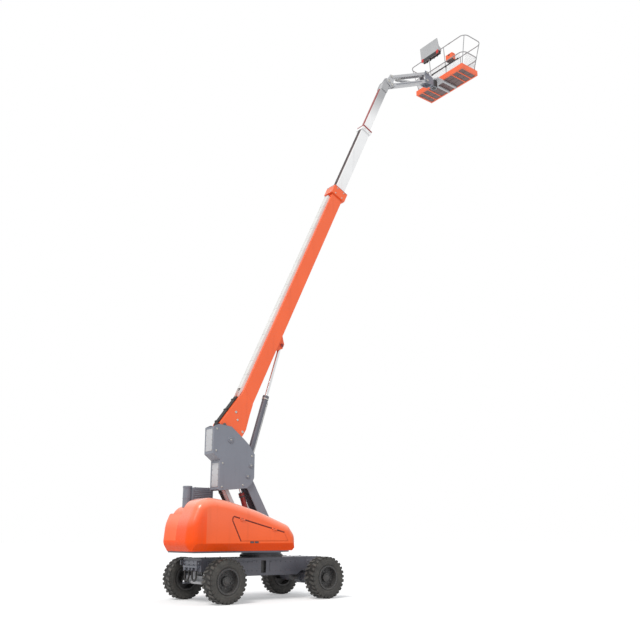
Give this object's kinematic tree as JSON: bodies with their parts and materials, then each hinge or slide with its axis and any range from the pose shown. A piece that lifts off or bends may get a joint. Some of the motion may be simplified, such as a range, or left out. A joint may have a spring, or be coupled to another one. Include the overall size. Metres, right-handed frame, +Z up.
{
  "type": "boom lift",
  "caption": "Self-propelled boom lift: wheeled chassis, slewing turret, parallel-link riser, telescopic boom, levelled jib and railed work platform.",
  "frame": {"origin": "on the ground, midway between the axles and the wheels", "axes": "+X the way the boom reaches, +Y to the machine's left, +Z up"},
  "size_m": [11.8125, 3.0378, 21.0003],
  "materials": {
    "orange_paint": "gloss paint",
    "dark_grey_paint": "satin paint",
    "mid_grey_paint": "satin paint",
    "light_grey_paint": "satin paint",
    "white_paint": "gloss paint",
    "black_paint": "satin paint",
    "red_paint": "satin paint",
    "cast_weight": "gloss paint over casting",
    "rod_chrome": "polished",
    "tray_alloy": "satin",
    "tyre_rubber": "moulded",
    "console_plastic": "moulded",
    "engine_iron": "painted"
  },
  "bodies": {
    "chassis": {"chassis_frame": "dark_grey_paint", "slew_ring": "dark_grey_paint", "drive_axle": "dark_grey_paint", "steer_axle": "light_grey_paint", "steer_cylinder": "light_grey_paint", "hose_plate": "light_grey_paint"},
    "steer_rod_body": {"steer_rod": "rod_chrome"},
    "steer_knuckle_left_body": {"steer_knuckle_left": "dark_grey_paint"},
    "steer_knuckle_right_body": {"steer_knuckle_right": "dark_grey_paint"},
    "wheel_steer_left": {"tyre_steer_left": "tyre_rubber", "rim_steer_left": "black_paint"},
    "wheel_steer_right": {"tyre_steer_right": "tyre_rubber", "rim_steer_right": "black_paint"},
    "wheel_drive_left": {"tyre_drive_left": "tyre_rubber", "rim_drive_left": "black_paint"},
    "wheel_drive_right": {"tyre_drive_right": "tyre_rubber", "rim_drive_right": "black_paint"},
    "turret": {"turntable": "dark_grey_paint", "counterweight": "cast_weight", "hood_left": "orange_paint", "hood_right": "orange_paint", "engine": "engine_iron", "air_housing": "mid_grey_paint"},
    "door_left": {"hood_door_left": "orange_paint"},
    "door_right": {"hood_door_right": "orange_paint"},
    "riser_front": {"riser_link": "mid_grey_paint"},
    "riser_rear": {"riser_link_rear": "light_grey_paint"},
    "riser_cylinder": {"riser_barrel": "red_paint"},
    "riser_cylinder_rod": {"riser_rod": "rod_chrome"},
    "boom_knuckle": {"knuckle": "mid_grey_paint"},
    "main_boom": {"boom_main": "orange_paint", "hose_tray": "tray_alloy", "hose_bundle": "black_paint"},
    "lift_cylinder": {"lift_barrel": "black_paint"},
    "lift_cylinder_rod": {"lift_rod": "rod_chrome"},
    "mid_boom": {"boom_mid": "white_paint", "mid_strip": "black_paint"},
    "fly_boom": {"boom_fly": "light_grey_paint", "fly_strip": "red_paint"},
    "jib_head_body": {"jib_head": "light_grey_paint"},
    "jib_bar_lower": {"jib_lower": "light_grey_paint"},
    "jib_bar_upper": {"jib_upper": "light_grey_paint"},
    "jib_cylinder": {"jib_barrel": "light_grey_paint"},
    "jib_cylinder_rod": {"jib_rod": "rod_chrome"},
    "platform_bracket_body": {"platform_bracket": "mid_grey_paint"},
    "platform": {"platform_base": "white_paint", "platform_floor": "orange_paint", "rail_boom_side": "light_grey_paint", "rail_outer": "light_grey_paint", "rail_end_left": "light_grey_paint", "rail_end_right": "light_grey_paint", "console": "console_plastic", "tool_box": "orange_paint"}
  },
  "joints": [
    {"name": "steer_left", "type": "hinge", "parent": "chassis", "child": "steer_knuckle_left_body", "pos_m": [-1.555, 0.74, 0.535], "axis": [0, 0, 1], "range_deg": [-30, 30]},
    {"name": "steer_right", "type": "hinge", "parent": "chassis", "child": "steer_knuckle_right_body", "pos_m": [-1.555, -0.74, 0.535], "axis": [0, 0, 1], "range_deg": [-30, 30]},
    {"name": "steer_rod_slide", "type": "slide", "parent": "chassis", "child": "steer_rod_body", "axis": [0, -1, 0], "range_m": [-0.1, 0.1]},
    {"name": "wheel_steer_left_turn", "type": "hinge", "parent": "steer_knuckle_left_body", "child": "wheel_steer_left", "pos_m": [-1.555, 1.05, 0.535], "axis": [0, 1, 0], "continuous": true},
    {"name": "wheel_steer_right_turn", "type": "hinge", "parent": "steer_knuckle_right_body", "child": "wheel_steer_right", "pos_m": [-1.555, -1.05, 0.535], "axis": [0, 1, 0], "continuous": true},
    {"name": "wheel_drive_left_turn", "type": "hinge", "parent": "chassis", "child": "wheel_drive_left", "pos_m": [1.555, 1.05, 0.535], "axis": [0, 1, 0], "continuous": true},
    {"name": "wheel_drive_right_turn", "type": "hinge", "parent": "chassis", "child": "wheel_drive_right", "pos_m": [1.555, -1.05, 0.535], "axis": [0, 1, 0], "continuous": true},
    {"name": "slew", "type": "hinge", "parent": "chassis", "child": "turret", "pos_m": [0.2, 0, 1.15], "axis": [0, 0, 1], "continuous": true},
    {"name": "door_right_open", "type": "hinge", "parent": "turret", "child": "door_right", "pos_m": [-1.44, -1.096, 2.09], "axis": [-0.9715, 0, 0.237], "range_deg": [0, 70]},
    {"name": "door_left_open", "type": "hinge", "parent": "turret", "child": "door_left", "pos_m": [-1.44, 1.096, 2.03], "axis": [0.9715, 0, -0.237], "range_deg": [0, 70]},
    {"name": "riser_lift", "type": "hinge", "parent": "turret", "child": "riser_front", "pos_m": [0.42, 0, 1.68], "axis": [0, 1, 0], "range_deg": [-51.5, 8]},
    {"name": "riser_rear_turn", "type": "hinge", "parent": "turret", "child": "riser_rear", "pos_m": [-0.28, 0, 1.46], "axis": [0, 1, 0], "range_deg": [-52, 8.5]},
    {"name": "knuckle_level", "type": "hinge", "parent": "riser_front", "child": "boom_knuckle", "pos_m": [-0.45031, 0, 3.16936], "axis": [0, 1, 0], "range_deg": [-8.5, 52]},
    {"name": "riser_cylinder_turn", "type": "hinge", "parent": "turret", "child": "riser_cylinder", "pos_m": [0, 0, 1.42], "axis": [0, 1, 0], "range_deg": [-54.81, 8.94]},
    {"name": "riser_cylinder_stroke", "type": "slide", "parent": "riser_cylinder", "child": "riser_cylinder_rod", "axis": [-0.3555, 0, 0.9347], "range_m": [-0.241, 0.042]},
    {"name": "boom_lift", "type": "hinge", "parent": "boom_knuckle", "child": "main_boom", "pos_m": [-1.02, 0, 4.11], "axis": [0, -1, 0], "range_deg": [-65.2, 5]},
    {"name": "lift_cylinder_turn", "type": "hinge", "parent": "boom_knuckle", "child": "lift_cylinder", "pos_m": [-0.35, 0, 3.46], "axis": [0, -1, 0], "range_deg": [-67.57, 5.64]},
    {"name": "lift_cylinder_stroke", "type": "slide", "parent": "lift_cylinder", "child": "lift_cylinder_rod", "axis": [0.2862, 0, 0.9582], "range_m": [-1.005, 0.082]},
    {"name": "boom_extend", "type": "slide", "parent": "main_boom", "child": "mid_boom", "axis": [0.4195, 0, 0.9078], "range_m": [-2.05, 3.6]},
    {"name": "fly_extend", "type": "slide", "parent": "mid_boom", "child": "fly_boom", "axis": [0.4195, 0, 0.9078], "range_m": [-2.055, 3.605]},
    {"name": "head_level", "type": "hinge", "parent": "fly_boom", "child": "jib_head_body", "pos_m": [5.34309, 0, 17.88098], "axis": [0, -1, 0], "range_deg": [-5.5, 65.7]},
    {"name": "jib_lift", "type": "hinge", "parent": "jib_head_body", "child": "jib_bar_lower", "pos_m": [5.49309, 0, 17.78598], "axis": [0, -1, 0], "range_deg": [-86.5, 33.5]},
    {"name": "jib_upper_turn", "type": "hinge", "parent": "jib_head_body", "child": "jib_bar_upper", "pos_m": [5.49309, 0, 18.12598], "axis": [0, -1, 0], "range_deg": [-87, 34]},
    {"name": "jib_cylinder_turn", "type": "hinge", "parent": "jib_bar_lower", "child": "jib_cylinder", "pos_m": [6.79074, 0, 18.43297], "axis": [0, -1, 0], "range_deg": [-2.01, 4.39]},
    {"name": "jib_cylinder_stroke", "type": "slide", "parent": "jib_cylinder", "child": "jib_cylinder_rod", "axis": [-0.9731, 0, -0.2302], "range_m": [-0.168, 0.426]},
    {"name": "platform_level", "type": "hinge", "parent": "jib_bar_lower", "child": "platform_bracket_body", "pos_m": [7.4172, 0, 18.74531], "axis": [0, -1, 0], "range_deg": [-34, 87]},
    {"name": "platform_turn", "type": "hinge", "parent": "platform_bracket_body", "child": "platform", "pos_m": [7.9502, 0, 19], "axis": [0, 0, 1], "range_deg": [-80, 80]}
  ],
  "couplings": [
    {"joint": "steer_right", "follows": "steer_left", "ratio": 1},
    {"joint": "steer_rod_slide", "follows": "steer_left", "m_per_rad": 0.172},
    {"joint": "riser_rear_turn", "follows": "riser_lift", "ratio": 1},
    {"joint": "knuckle_level", "follows": "riser_lift", "ratio": -1},
    {"joint": "riser_cylinder_turn", "follows": "riser_lift", "ratio": 1.0546},
    {"joint": "riser_cylinder_stroke", "follows": "riser_lift", "m_per_rad": 0.26305},
    {"joint": "lift_cylinder_turn", "follows": "boom_lift", "ratio": 1.0287},
    {"joint": "lift_cylinder_stroke", "follows": "boom_lift", "m_per_rad": 0.87914},
    {"joint": "fly_extend", "follows": "boom_extend", "ratio": 1},
    {"joint": "head_level", "follows": "boom_lift", "ratio": -1},
    {"joint": "jib_upper_turn", "follows": "jib_lift", "ratio": 1},
    {"joint": "jib_cylinder_turn", "follows": "jib_lift", "ratio": -0.045},
    {"joint": "jib_cylinder_stroke", "follows": "jib_lift", "m_per_rad": -0.27919},
    {"joint": "platform_level", "follows": "jib_lift", "ratio": -1}
  ]
}
